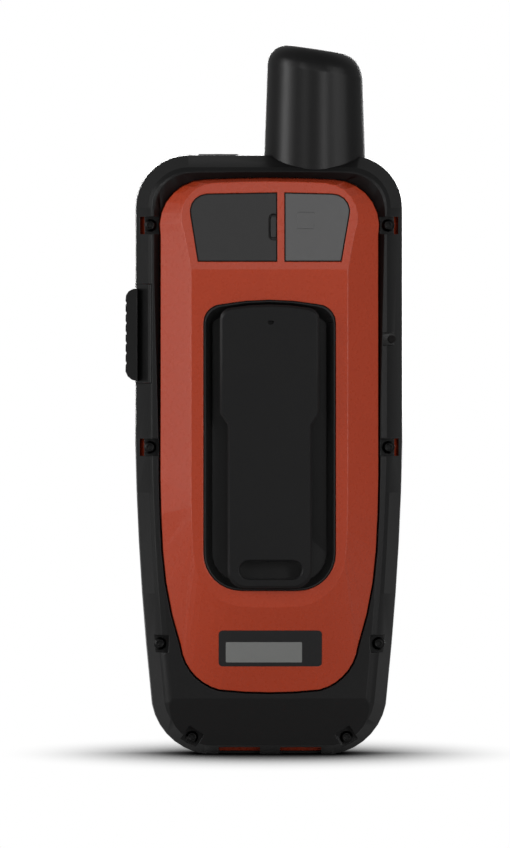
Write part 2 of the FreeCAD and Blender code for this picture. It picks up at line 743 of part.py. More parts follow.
def lens_pad(grow, y, reach):
    half, low, high = LENS[0] + grow, LENS[1] - grow, LENS[2] + grow
    corner = 6.0
    cut = corner * (1 - math.sqrt(0.5))
    moves = [
        ((half - cut, low + cut), (half, low + corner), 4),
        (half, high - 4.0),
        ((half - 1.2, high - 1.2), (half - 4.0, high), 3),
    ]
    return extrude(mirror_outline("XZ", y, (half - corner, low), moves), V(0, reach, 0))


def screen_opening():
    half, low, high = SCREEN
    return pad("XZ", 13.0, 4.0, (0, (low + high) / 2), (2 * half + 2, high - low + 2), 1.5)


def display_lens():
    return lens_pad(0.0, 15.3, 1.15)


def lens_gasket():
    ring = lens_pad(0.0, 15.0, 0.3)
    half, low, high = SCREEN
    return ring.cut(pad("XZ", 14.0, 3.0, (0, (low + high) / 2), (2 * half + 4, high - low + 4), 2.0))


def display_panel():
    half, low, high = SCREEN
    return pad("XZ", 13.9, 0.25, (0, (low + high) / 2), (2 * half, high - low), 0.6)


def display_module():
    return pad("XZ", 11.0, 2.9, (0, 49.8), (43.0, 69.0), 1.0)


def display_chassis():
    """Pressed tray that holds the display: a plate with turned-up edges and lightening holes."""
    tray = pad("XZ", 10.0, 3.0, (0, 49.8), (45.6, 71.6), 1.6)
    tray = tray.cut(pad("XZ", 11.0, 4.0, (0, 49.8), (43.2, 69.2), 1.0))
    windows = [pad("XZ", 9.0, 4.0, (x, z), (15.0, 16.0), 3.0, 2) for x in (-10.5, 10.5) for z in (28.0, 50.0, 72.0)]
    return tray.cut(windows)


def display_flex():
    run = box((-7.0, -0.2, 87.0), (7.0, 12.4, 87.2))
    fold = box((-7.0, 12.2, 85.6), (7.0, 12.4, 87.2))
    return fused([run, fold])


# Keypad

def key_pad(place, grow, y, reach):
    width, height = KEY_SIZES
    return pad("XZ", y, reach, place, (width + 2 * grow, height + 2 * grow), 3.0)


def key(place):
    """Key cap with a bevelled top and a flange that keeps it behind the bezel."""
    width, height = KEY_SIZES
    cap = crowned_pad("XZ", 13.6, KEY_TOP - 13.6, place, KEY_SIZES, 3.0, 0.6)
    flange = pad("XZ", 12.8, 0.9, place, (width + 1.6, height + 1.6), 3.4)
    stem = box((place[0] - 2.0, 10.3, place[1] - 2.0), (place[0] + 2.0, 12.9, place[1] + 2.0))
    return fused([cap, flange, stem])


def rocker_pad():
    """Four-way disc that stands clear of the bezel, with a dished middle and a raised rim."""
    top = ROCKER_FOOT + ROCKER_THICK
    profile = [(0.0, ROCKER_R - 0.5), (0.35, ROCKER_R), (ROCKER_THICK - 0.9, ROCKER_R),
               (ROCKER_THICK - 0.25, ROCKER_R - 0.45), (ROCKER_THICK, ROCKER_R - 1.2)]
    dish = [(ROCKER_THICK - 0.75, ROCKER_R - 6.2), (ROCKER_THICK - 0.45, ROCKER_R - 3.2),
            (ROCKER_THICK, ROCKER_R - 1.2), (ROCKER_THICK + 0.45, ROCKER_R + 0.8)]
    pad_form = turned((0, ROCKER_FOOT, ROCKER_Z), (0, 1, 0), profile, 28)
    pad_form = pad_form.cut(turned((0, ROCKER_FOOT, ROCKER_Z), (0, 1, 0), dish, 28))
    arrows = []
    for step in range(4):
        wedge = Part.makePolygon([V(-1.1, top - 0.5, 6.9), V(1.1, top - 0.5, 6.9), V(0, top - 0.5, 8.3),
                                  V(-1.1, top - 0.5, 6.9)])
        wedge = extrude(wedge, V(0, 1.0, 0)).rotated(V(0, 0, 0), V(0, 1, 0), 90.0 * step)
        arrows.append(wedge.translated(V(0, 0, ROCKER_Z)))
    return pad_form.cut(arrows)


def rocker_stem():
    """Post behind the disc, with a cross pin that rides in the pivot ring."""
    post = disc((0, 10.3, ROCKER_Z), (0, 1, 0), ROCKER_FOOT - 10.3, 2.0, 12)
    return fused([post, rod((-3.4, 11.4, ROCKER_Z), (3.4, 11.4, ROCKER_Z), 0.5)])


def rocker_pivot():
    """Ring that tilts on two ears of the bezel and carries the stem's cross pin."""
    ring = disc((0, 10.6, ROCKER_Z), (0, 1, 0), 1.6, 5.2, 16)
    ring = ring.cut(disc((0, 10.0, ROCKER_Z), (0, 1, 0), 3.0, 2.5, 12))
    ring = ring.cut(disc((-3.6, 11.4, ROCKER_Z), (1, 0, 0), 7.2, 0.6, 8))
    ears = [rod((0, 11.4, ROCKER_Z + side * 5.0), (0, 11.4, ROCKER_Z + side * 7.6), 0.55) for side in (-1, 1)]
    return fused([ring] + ears)


def switch_places():
    arms = [(7.0 * math.cos(turn), ROCKER_Z + 7.0 * math.sin(turn))
            for turn in [math.radians(90.0 * step) for step in range(4)]]
    return list(KEYS.values()) + arms


def keypad_board():
    return pad("XZ", 6.4, 1.0, (0, 118.0), (53.0, 46.0), 7.0)


def switch_domes():
    return Part.makeCompound([disc((x, 7.4, z), (0, 1, 0), 0.4, 2.1, 8) for x, z in switch_places()])


def keypad_mat():
    """Silicone mat over the domes, with a pip under each key."""
    sheet = pad("XZ", 8.0, 0.8, (0, 118.0), (53.0, 46.0), 7.0)
    pips = [disc((x, 8.7, z), (0, 1, 0), 0.8, 1.6, 6) for x, z in switch_places()]
    return fused([sheet] + pips)


# Inside the case

def main_board():
    moves = [(20.5, 12.0), (25.2, 36.0), (25.2, 134.0), ((24.0, 138.6), (19.4, 141.0), 4)]
    board = extrude(mirror_outline("XZ", -1.4, (12.0, 9.0), moves), V(0, 1.2, 0))
    return board


def shield_cans():
    cans = [
        pad("XZ", -3.9, 2.5, (11.5, 115.0), (19.0, 15.0), 0.8),
        pad("XZ", -3.6, 2.2, (12.0, 132.0), (17.0, 12.0), 0.8),
        pad("XZ", -0.2, 2.0, (-12.0, 60.0), (20.0, 26.0), 0.8),
        pad("XZ", -0.2, 2.0, (12.0, 36.0), (18.0, 22.0), 0.8),
    ]
    return Part.makeCompound(cans)


def battery_cradle():
    tray = pad("XZ", -11.4, 9.0, (0, 72.0), (44.0, 68.0), 2.5)
    return tray.cut(pad("XZ", -12.0, 8.8, (0, 72.0), (42.0, 66.0), 1.6))


def battery_pack():
    return pad("XZ", -11.2, 8.0, (0, 72.0), (41.6, 65.6), 1.5)


def battery_plug():
    return box((-22.0, -4.4, 106.6), (-16.0, -1.4, 110.4))


def buzzer():
    drum = disc((-13.5, -1.4, 117.5), (0, -1, 0), 4.0, 6.0, 24)
    return drum.cut(disc((-13.5, -4.6, 117.5), (0, -1, 0), 1.4, 1.0, 8))


def usb_board():
    return tilted(pad("XZ", PLATEAU + 13.4, 1.0, (-8.0, facet_z(131.6)), (15.0, 13.0), 1.0))


def usb_socket():
    """Metal shell with a wider top, open to the rear, round a contact tongue."""
    z = facet_z(131.6)
    def shell(y, half, drop, reach):
        moves = [(-8.0 + half, z + drop), (-8.0 - half, z + drop), (-8.0 - half, z - 0.3),
                 (-8.0 - half + 0.9, z - drop), (-8.0 + half - 0.9, z - drop), (-8.0 + half, z - 0.3)]
        return extrude(outline("XZ", y, moves[-1], moves), V(0, reach, 0))
    face = PLATEAU + 8.6
    body = shell(face, 3.9, 1.45, 4.8).cut(shell(face - 1, 3.6, 1.15, 5.2))
    tongue = box((-9.9, face + 0.6, z + 0.1), (-6.1, face + 4.8, z + 0.6))
    return tilted(fused([body, tongue]))


# SOS cover, its button and the power button

def sos_pin(trim):
    x, y = SOS_PIVOT
    return rod((x, y, SOS_LOW - 1.2 + trim), (x, y, SOS_TOP + 1.2 - trim), 0.55)


def sos_cover():
    """Hinged cover over the SOS button: wraps onto the rear face and carries a ribbed grip."""
    x, y = SOS_PIVOT
    plate = bumper_form().common(sos_region(SEAM)).cut(sos_under(0.0))
    grip_outline = outline("XZ", -9.0, (-33.0, 93.2), [
        ((-35.2, 94.2), (-35.9, 97.0), 4), (-35.9, 113.5), ((-35.2, 115.6), (-33.0, 116.3), 4), (-33.0, 93.2)])
    grip = extrude(grip_outline, V(0, 7.4, 0))
    grooves = [disc((-36.25, -10.0, 97.7 + 2.5 * step), (0, 1, 0), 10.0, 0.6, 8) for step in range(7)]
    knuckle = rod((x, y, SOS_LOW + SEAM), (x, y, SOS_TOP - SEAM), 1.25)
    bore = rod((x, y, SOS_LOW - 2), (x, y, SOS_TOP + 2), 0.6)
    return fused([plate, grip.cut(grooves), knuckle]).cut(bore)


def sos_button():
    y, z = SOS_BUTTON
    cap = disc((-30.5, y, z), (1, 0, 0), 2.5, SOS_BUTTON_R, 24)
    flange = disc((-28.45, y, z), (1, 0, 0), 0.55, SOS_BUTTON_R + 0.4, 24)
    return fused([cap, flange])


def sos_switch():
    y, z = SOS_BUTTON
    board = pad("YZ", -26.4, 0.8, (-0.9, z), (7.4, 14.0), 1.0)
    switch = pad("YZ", -27.2, 0.8, (y, z), (3.8, 3.8), 0.4)
    return fused([board, switch])


def power_button():
    cap = crowned_pad("XY", 146.4, CASE_TOP + POWER_PROUD - 146.4, (POWER_X, POWER_Y), POWER_SIZE, 2.0, 0.15)
    flange = pad("XY", 145.6, 0.9, (POWER_X, POWER_Y), (11.4, 5.4), 2.4)
    return fused([cap, flange])


def power_switch():
    body = box((POWER_X - 2.4, -3.1, 140.2), (POWER_X + 2.4, -1.4, 144.2))
    stem = box((POWER_X - 1.0, -2.9, 144.2), (POWER_X + 1.0, -2.0, 145.0))
    return fused([body, stem])


NODES = {
    "rear_cover": rear_cover,
    "bumper_frame": bumper_frame,
    "core_housing": core_housing,
    "front_housing": front_housing,
    "case_gasket": case_gasket,
    "case_screws": case_screws,
    "antenna_housing": antenna_housing,
    "antenna_former": antenna_former,
    "antenna_windings": antenna_windings,
    "antenna_board": antenna_board,
    "antenna_lead": antenna_lead,
    "antenna_plug": antenna_plug,
    "spine_tray": spine_tray,
    "spine_gasket": spine_gasket,
    "mounting_spine": mounting_spine,
    "spine_screws": spine_screws,
    "usb_weather_cap": usb_weather_cap,
    "usb_socket": usb_socket,
    "usb_board": usb_board,
    "sensor_window": sensor_window,
    "light_sensor": light_sensor,
    "label_plate": label_plate,
    "label_inlay": label_inlay,
    "display_lens": display_lens,
    "lens_gasket": lens_gasket,
    "display_panel": display_panel,
    "display_module": display_module,
    "display_chassis": display_chassis,
    "display_flex": display_flex,
    "rocker_pad": rocker_pad,
    "rocker_stem": rocker_stem,
    "rocker_pivot": rocker_pivot,
    "keypad_mat": keypad_mat,
    "switch_domes": switch_domes,
    "keypad_board": keypad_board,
    "main_board": main_board,
    "shield_cans": shield_cans,
    "battery_cradle": battery_cradle,
    "battery_pack": battery_pack,
    "battery_plug": battery_plug,
    "buzzer": buzzer,
    "pressure_vent": pressure_vent,
    "sos_cover": sos_cover,
    "sos_hinge_pin": lambda: sos_pin(0.0),
    "sos_button": sos_button,
    "sos_switch": sos_switch,
    "power_button": power_button,
    "power_switch": power_switch,
}

os.makedirs("parts", exist_ok=True)
for name, build in NODES.items():
    build().exportStep("parts/" + name + ".step")
for name, place in KEYS.items():
    key(place).exportStep("parts/" + name + ".step")
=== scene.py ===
# %% [markdown]
# # Handheld emergency position beacon
# The beacon stands upright on its flat foot, with its mounting spine towards us. Its solid parts come
# from the imported model and keep their places. This lesson gives every part its finish, rounds the
# moulded shells, paints the shadows in the fine gaps round two panels as black lines, draws the signs
# on the keys, and lights the beacon like a catalogue picture.

# %% Load the imported model
import json
import math

import bpy
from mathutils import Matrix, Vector


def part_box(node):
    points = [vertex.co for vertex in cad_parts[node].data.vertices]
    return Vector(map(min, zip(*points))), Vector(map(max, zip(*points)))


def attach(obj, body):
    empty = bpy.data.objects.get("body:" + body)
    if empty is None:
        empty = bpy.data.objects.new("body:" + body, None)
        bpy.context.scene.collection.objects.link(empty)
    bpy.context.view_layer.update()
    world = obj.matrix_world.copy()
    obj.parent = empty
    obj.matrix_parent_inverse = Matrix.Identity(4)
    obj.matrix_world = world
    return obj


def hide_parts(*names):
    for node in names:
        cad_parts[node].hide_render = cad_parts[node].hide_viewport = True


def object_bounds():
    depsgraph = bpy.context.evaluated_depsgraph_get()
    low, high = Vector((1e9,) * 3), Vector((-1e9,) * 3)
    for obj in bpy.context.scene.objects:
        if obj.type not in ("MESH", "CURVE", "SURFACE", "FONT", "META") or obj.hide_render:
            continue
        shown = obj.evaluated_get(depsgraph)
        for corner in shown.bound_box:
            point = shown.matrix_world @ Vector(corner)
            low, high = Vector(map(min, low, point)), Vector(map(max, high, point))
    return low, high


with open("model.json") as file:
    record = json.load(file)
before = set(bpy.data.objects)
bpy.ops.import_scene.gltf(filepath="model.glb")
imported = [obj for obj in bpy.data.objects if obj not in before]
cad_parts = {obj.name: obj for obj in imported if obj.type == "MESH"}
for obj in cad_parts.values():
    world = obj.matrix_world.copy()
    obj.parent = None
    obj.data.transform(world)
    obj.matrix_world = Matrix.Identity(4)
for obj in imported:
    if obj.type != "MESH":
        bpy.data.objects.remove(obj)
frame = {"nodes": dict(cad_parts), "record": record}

bpy.ops.object.select_all(action="DESELECT")
cad_box = [list(corner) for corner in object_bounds()]
MM = 0.001
low, high = (Vector(corner) for corner in cad_box)
print("nodes", len(frame["nodes"]), "size in mm", [round(side / MM, 1) for side in high - low])

# %% [markdown]
# ## Camera
# A very long lens from four metres away keeps the case's sides almost parallel, as in a catalogue
# picture. The camera stands a touch to the left of the middle and a little above the foot, so the spine
# and the bay's right wall show their depth.

# %% Place the camera
CAMERA_TURN = math.radians(-0.4)
CAMERA_RISE = math.radians(0.6)
CAMERA_DISTANCE = 4.0
FIELD_HEIGHT = 212.3 * MM
LOOK_AT = Vector((-3.5 * MM, 0.0, 82.4 * MM))

camera_data = bpy.data.cameras.new("studio_camera")
camera_data.sensor_width = 36.0
camera_data.lens = camera_data.sensor_width * CAMERA_DISTANCE / FIELD_HEIGHT
camera = bpy.data.objects.new("studio_camera", camera_data)
bpy.context.scene.collection.objects.link(camera)
away = Vector((math.sin(CAMERA_TURN) * math.cos(CAMERA_RISE),
               -math.cos(CAMERA_TURN) * math.cos(CAMERA_RISE),
               math.sin(CAMERA_RISE)))
camera.location = LOOK_AT + away * CAMERA_DISTANCE
camera.rotation_euler = away.to_track_quat("Z", "Y").to_euler()
bpy.context.scene.camera = camera
print("lens", round(camera_data.lens), "mm")

# %% [markdown]
# ## Studio
# Black plastic shows little but what it reflects, so the lamps are soft panels set in an arc. The tall
# one at the far left is the strongest and draws the pale sheen down the left side. The others are
# weaker, and each one lights the facets that face it. A wide panel behind lights the keypad side.
#
# The background is white. The floor reflects a paler grey into the case, but a camera ray sees it glow
# white, with a contact shade round the foot. That shade is the ambient occlusion, deepened by a power
# and faded out over an ellipse, so the floor has no edge and no horizon.


# %% Lights
def soft_panel(name, place, aim, size, power):
    """A rectangular area lamp that looks at a point and that the camera doesn't see."""
    data = bpy.data.lights.new(name, "AREA")
    data.shape = "RECTANGLE"
    data.size, data.size_y = size
    data.energy = power
    lamp = bpy.data.objects.new(name, data)
    bpy.context.scene.collection.objects.link(lamp)
    lamp.location = place
    lamp.visible_camera = False
    lamp.rotation_euler = (Vector(place) - Vector(aim)).to_track_quat("Z", "Y").to_euler()
    return lamp


MIDDLE = (0.0, 0.0, 0.09)
PANELS = {  # name: (place, size) in metres, power in watts
    "far_left_panel": ((-0.99, -0.27, 0.31), (0.3, 0.8), 5.9),
    "left_panel": ((-0.87, -0.54, 0.31), (0.28, 0.8), 0.6),
    "upper_left_panel": ((-0.44, -0.82, 0.58), (0.16, 0.16), 0.6),
    "front_left_panel": ((-0.43, -0.93, 0.31), (0.26, 0.5), 0.8),
    "front_panel": ((0.05, -0.97, 0.50), (0.5, 0.14), 0.5),
    "front_right_panel": ((0.36, -0.98, 0.20), (0.2, 0.3), 1.6),
    "right_panel": ((0.76, -0.69, 0.31), (0.28, 0.8), 1.9),
    "far_right_panel": ((0.93, -0.43, 0.31), (0.3, 0.8), 1.4),
    "rear_panel": ((0.15, 1.0, 0.22), (0.7, 0.3), 5.0)}
for name, (place, size, power) in PANELS.items():
    soft_panel(name, place, MIDDLE, size, power)
print("lit by", len(PANELS), "soft panels")


# %% White background
def choose_for_camera(tree, others, camera_sees, output_type):
    """Camera rays see one shader, all other rays see another."""
    ray = tree.nodes.new("ShaderNodeLightPath")
    choose = tree.nodes.new("ShaderNodeMixShader")
    tree.links.new(ray.outputs["Is Camera Ray"], choose.inputs["Fac"])
    tree.links.new(others.outputs[0], choose.inputs[1])
    tree.links.new(camera_sees.outputs[0], choose.inputs[2])
    output = tree.nodes.new(output_type)
    tree.links.new(choose.outputs[0], output.inputs["Surface"])


FILL_STRENGTH = 0.25
world = bpy.data.worlds.new("studio_world")
world.use_nodes = True
bpy.context.scene.world = world
sky_tree = world.node_tree
sky_tree.nodes.clear()
fill = sky_tree.nodes.new("ShaderNodeBackground")
fill.inputs["Color"].default_value = (1.0, 1.0, 1.0, 1.0)
fill.inputs["Strength"].default_value = FILL_STRENGTH
backdrop = sky_tree.nodes.new("ShaderNodeBackground")
backdrop.inputs["Color"].default_value = (1.0, 1.0, 1.0, 1.0)
backdrop.inputs["Strength"].default_value = 1.0
choose_for_camera(sky_tree, fill, backdrop, "ShaderNodeOutputWorld")

# %% Floor with a contact shade
SHADE_REACH = 0.30
SHADE_DEPTH = 6.0
SHADE_SAMPLES = 16
SHADE_HALF = (0.069, 0.15)
FADE_START = 0.25
FLOOR_GREY = 0.7

bpy.ops.mesh.primitive_plane_add(size=4.0, location=(0.0, 0.0, -0.1 * MM))
floor = bpy.context.object
floor.name = "studio_floor"
floor_material = bpy.data.materials.new("pale_floor")
floor_material.use_nodes = True
floor_tree = floor_material.node_tree
floor_tree.nodes.clear()
paint = floor_tree.nodes.new("ShaderNodeBsdfDiffuse")
paint.inputs["Color"].default_value = (FLOOR_GREY, FLOOR_GREY, FLOOR_GREY, 1.0)
shade = floor_tree.nodes.new("ShaderNodeAmbientOcclusion")
shade.samples = SHADE_SAMPLES
shade.inputs["Distance"].default_value = SHADE_REACH
deepen = floor_tree.nodes.new("ShaderNodeMath")
deepen.operation = "POWER"
floor_tree.links.new(shade.outputs["AO"], deepen.inputs[0])
deepen.inputs[1].default_value = SHADE_DEPTH
spot = floor_tree.nodes.new("ShaderNodeTexCoord")
squash = floor_tree.nodes.new("ShaderNodeVectorMath")
squash.operation = "MULTIPLY"
squash.inputs[1].default_value = (1.0 / SHADE_HALF[0], 1.0 / SHADE_HALF[1], 0.0)
floor_tree.links.new(spot.outputs["Object"], squash.inputs[0])
distance = floor_tree.nodes.new("ShaderNodeVectorMath")
distance.operation = "LENGTH"
floor_tree.links.new(squash.outputs[0], distance.inputs[0])
fade = floor_tree.nodes.new("ShaderNodeMapRange")
fade.interpolation_type = "SMOOTHSTEP"
fade.inputs["From Min"].default_value = FADE_START
floor_tree.links.new(distance.outputs["Value"], fade.inputs["Value"])
lift = floor_tree.nodes.new("ShaderNodeMix")
lift.inputs[3].default_value = 1.0
floor_tree.links.new(fade.outputs["Result"], lift.inputs[0])
floor_tree.links.new(deepen.outputs[0], lift.inputs[2])
glow = floor_tree.nodes.new("ShaderNodeEmission")
floor_tree.links.new(lift.outputs[0], glow.inputs["Strength"])
choose_for_camera(floor_tree, paint, glow, "ShaderNodeOutputMaterial")
floor.data.materials.append(floor_material)
bpy.context.scene.view_settings.view_transform = "Standard"
print("floor", floor.name)

# %% [markdown]
# ## Shared surface effects
# Moulded plastic is never a flat colour. Three effects repeat in the finishes below, so each one is a
# node group: a fine pebbled grain, slow cloudy changes of tone and gloss, and softened edges. Real
# moulded corners are never razor sharp. The Bevel node rounds the shading of each corner, and the angle
# between its normal and the true one tells how close a point is to a corner, which gives a mask for
# worn edges.


# %% Node group helpers
def new_group(name, inputs, outputs):
    """An empty shader node group with float inputs (name, value) and outputs (name, socket type)."""
    group = bpy.data.node_groups.new(name, "ShaderNodeTree")
    for socket_name, value in inputs:
        socket = group.interface.new_socket(socket_name, in_out="INPUT", socket_type="NodeSocketFloat")
        socket.default_value = value
    for socket_name, kind in outputs:
        group.interface.new_socket(socket_name, in_out="OUTPUT", socket_type=kind)
    entry = group.nodes.new("NodeGroupInput")
    leave = group.nodes.new("NodeGroupOutput")
    return group, entry, leave


def math_node(tree, operation, first, second):
    """A Math node whose inputs are sockets or numbers."""
    node = tree.nodes.new("ShaderNodeMath")
    node.operation = operation
    for index, value in enumerate((first, second)):
        if isinstance(value, (int, float)):
            node.inputs[index].default_value = value
        else:
            tree.links.new(value, node.inputs[index])
    return node.outputs[0]


# %% Moulded grain group
def make_grain_group():
    group, entry, leave = new_group(
        "moulded_grain",
        [("Grain Size mm", 0.35), ("Wave Size mm", 6.0), ("Wave Share", 0.15)],
        [("Height", "NodeSocketFloat")])
    place = group.nodes.new("ShaderNodeTexCoord")
    fine_scale = math_node(group, "DIVIDE", 1000.0, entry.outputs["Grain Size mm"])
    wave_scale = math_node(group, "DIVIDE", 1000.0, entry.outputs["Wave Size mm"])
    pebbles = group.nodes.new("ShaderNodeTexVoronoi")
    pebbles.feature = "SMOOTH_F1"
    pebbles.inputs["Smoothness"].default_value = 0.6
    waves = group.nodes.new("ShaderNodeTexNoise")
    waves.inputs["Detail"].default_value = 2.0
    for texture, scale in ((pebbles, fine_scale), (waves, wave_scale)):
        group.links.new(place.outputs["Object"], texture.inputs["Vector"])
        group.links.new(scale, texture.inputs["Scale"])
    wave = math_node(group, "MULTIPLY", waves.outputs[0], entry.outputs["Wave Share"])
    total = math_node(group, "ADD", pebbles.outputs["Distance"], wave)
    group.links.new(total, leave.inputs["Height"])
    return group


GRAIN = make_grain_group()
print("group", GRAIN.name)


# %% Cloudy tone group
FINE_RATIO = 14.0


def make_cloud_group():
    group, entry, leave = new_group(
        "cloudy_tone",
        [("Cloud Size mm", 18.0), ("Contrast", 0.5)],
        [("Mask", "NodeSocketFloat"), ("Fine Mask", "NodeSocketFloat")])
    place = group.nodes.new("ShaderNodeTexCoord")
    scale = math_node(group, "DIVIDE", 1000.0, entry.outputs["Cloud Size mm"])
    fine_scale = math_node(group, "MULTIPLY", scale, FINE_RATIO)
    for target, size in (("Mask", scale), ("Fine Mask", fine_scale)):
        noise = group.nodes.new("ShaderNodeTexNoise")
        noise.inputs["Detail"].default_value = 4.0
        noise.inputs["Roughness"].default_value = 0.6
        group.links.new(place.outputs["Object"], noise.inputs["Vector"])
        group.links.new(size, noise.inputs["Scale"])
        centred = math_node(group, "SUBTRACT", noise.outputs[0], 0.5)
        swung = math_node(group, "MULTIPLY", centred, entry.outputs["Contrast"])
        group.links.new(math_node(group, "ADD", swung, 0.5), leave.inputs[target])
    return group


CLOUD = make_cloud_group()
print("group", CLOUD.name)


# %% Soft edge group
BEVEL_SAMPLES = 6
WEAR_GAIN = 5.0
WEAR_PATCH_SCALE = 260.0


def make_edge_group():
    group, entry, leave = new_group(
        "soft_edges",
        [("Radius mm", 0.35), ("Wear", 0.5)],
        [("Normal", "NodeSocketVector"), ("Edge", "NodeSocketFloat")])
    radius = math_node(group, "MULTIPLY", entry.outputs["Radius mm"], MM)
    bevel = group.nodes.new("ShaderNodeBevel")
    bevel.samples = BEVEL_SAMPLES
    group.links.new(radius, bevel.inputs["Radius"])
    surface = group.nodes.new("ShaderNodeNewGeometry")
    turn = group.nodes.new("ShaderNodeVectorMath")
    turn.operation = "DOT_PRODUCT"
    group.links.new(bevel.outputs["Normal"], turn.inputs[0])
    group.links.new(surface.outputs["Normal"], turn.inputs[1])
    bent = math_node(group, "SUBTRACT", 1.0, turn.outputs["Value"])
    patchy = group.nodes.new("ShaderNodeTexNoise")
    patchy.inputs["Scale"].default_value = WEAR_PATCH_SCALE
    place = group.nodes.new("ShaderNodeTexCoord")
    group.links.new(place.outputs["Object"], patchy.inputs["Vector"])
    worn = math_node(group, "MULTIPLY", bent, WEAR_GAIN)
    worn = math_node(group, "MULTIPLY", worn, patchy.outputs[0])
    worn = math_node(group, "MULTIPLY", worn, entry.outputs["Wear"])
    worn = math_node(group, "MINIMUM", worn, 1.0)
    group.links.new(bevel.outputs["Normal"], leave.inputs["Normal"])
    group.links.new(worn, leave.inputs["Edge"])
    return group


EDGES = make_edge_group()
print("group", EDGES.name)

# %% [markdown]
# ## A moulded finish
# Almost every part is injection moulded, so one function lays out the common finish and each material
# passes its own colours and sizes: a base tone that drifts between two close colours, a paler rub along
# the edges, a roughness that wanders a little, and a grain that only a glancing light brings out.


# %% Build a moulded plastic or rubber
GRAIN_DEPTH = 0.1 * MM
CLOUD_CONTRAST = 0.9


def place_group(tree, group, **values):
    """Place a node group and set its named inputs."""
    node = tree.nodes.new("ShaderNodeGroup")
    node.node_tree = group
    for name, value in values.items():
        node.inputs[name.replace("_", " ")].default_value = value
    return node


def ramp(tree, mask, first, second):
    """Mix two colours or two values by a mask."""
    node = tree.nodes.new("ShaderNodeMix")
    if isinstance(first, tuple):
        node.data_type = "RGBA"
        a, b, out = node.inputs[6], node.inputs[7], node.outputs[2]
        a.default_value, b.default_value = first + (1.0,), second + (1.0,)
    else:
        a, b, out = node.inputs[2], node.inputs[3], node.outputs[0]
        a.default_value, b.default_value = first, second
    tree.links.new(mask, node.inputs[0])
    return out


def blend_colours(tree, mask, first, second):
    """Mix a colour socket with a plain colour by a mask."""
    node = tree.nodes.new("ShaderNodeMix")
    node.data_type = "RGBA"
    tree.links.new(mask, node.inputs[0])
    tree.links.new(first, node.inputs[6])
    node.inputs[7].default_value = second + (1.0,)
    return node.outputs[2]


def moulded(name, tones, rub, gloss, grain_mm=0.35, bump=0.06, radius_mm=0.35, wear=0.35,
            specular=0.5, metallic=0.0):
    """A moulded finish: tones and gloss are (low, high) pairs, rub is the colour of worn edges."""
    material = bpy.data.materials.new(name)
    material.use_nodes = True
    tree = material.node_tree
    skin = tree.nodes["Principled BSDF"]
    cloud = place_group(tree, CLOUD, Contrast=CLOUD_CONTRAST)
    edges = place_group(tree, EDGES, Radius_mm=radius_mm, Wear=wear)
    grain = place_group(tree, GRAIN, Grain_Size_mm=grain_mm)
    tone = ramp(tree, cloud.outputs["Mask"], *tones)
    tone = blend_colours(tree, edges.outputs["Edge"], tone, rub)
    tree.links.new(tone, skin.inputs["Base Color"])
    tree.links.new(ramp(tree, cloud.outputs["Fine Mask"], *gloss), skin.inputs["Roughness"])
    relief = tree.nodes.new("ShaderNodeBump")
    relief.inputs["Strength"].default_value = bump
    relief.inputs["Distance"].default_value = GRAIN_DEPTH
    tree.links.new(grain.outputs["Height"], relief.inputs["Height"])
    tree.links.new(edges.outputs["Normal"], relief.inputs["Normal"])
    tree.links.new(relief.outputs["Normal"], skin.inputs["Normal"])
    skin.inputs["Specular IOR Level"].default_value = specular
    skin.inputs["Metallic"].default_value = metallic
    return material


